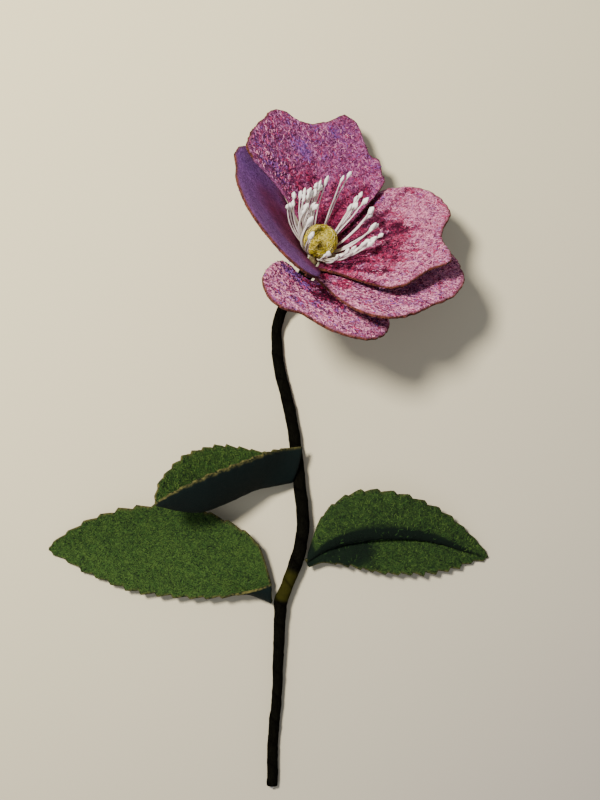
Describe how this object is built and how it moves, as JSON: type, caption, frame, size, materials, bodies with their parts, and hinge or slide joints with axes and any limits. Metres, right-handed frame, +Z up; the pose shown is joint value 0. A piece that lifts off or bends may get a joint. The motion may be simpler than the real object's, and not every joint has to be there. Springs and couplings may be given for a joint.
{
  "type": "handmade felt wild rose",
  "caption": "Felt wild rose laid down flat: an open bloom with stamens and a fuzzy ball, on a bent wire stem with folded, toothed leaves.",
  "frame": {"origin": "on the surface it lies on, below the middle of its box", "axes": "+Y along the stem towards the bloom, +Z up off the surface, +X to the right of the stem seen from above"},
  "size_m": [0.1346, 0.2018, 0.0604],
  "materials": {
    "petal_back": "dyed curly wool felt, mauve",
    "petal_left": "dyed curly wool felt, violet",
    "petal_right": "dyed curly wool felt, pink with crimson streaks",
    "petal_lower": "dyed curly wool felt, pink",
    "petal_front": "dyed curly wool felt, pink",
    "centre_ball": "fuzzy wool, yellow green",
    "stamens": "stiffened thread with dipped heads, white",
    "stem_wrap": "wrapped fabric tape, very dark green brown",
    "stem_wire": "bare florist's wire",
    "leaf_upper": "dyed wool felt, green",
    "leaf_left": "dyed wool felt, green",
    "leaf_right": "dyed wool felt, green"
  },
  "bodies": {
    "root": {"petal_back": "petal_back", "petal_left": "petal_left", "petal_right": "petal_right", "petal_lower": "petal_lower", "petal_front": "petal_front", "centre_ball": "centre_ball", "stamens": "stamens", "stem_wrap": "stem_wrap", "stem_wire": "stem_wire", "leaf_upper": "leaf_upper", "leaf_left": "leaf_left", "leaf_right": "leaf_right"}
  },
  "joints": []
}
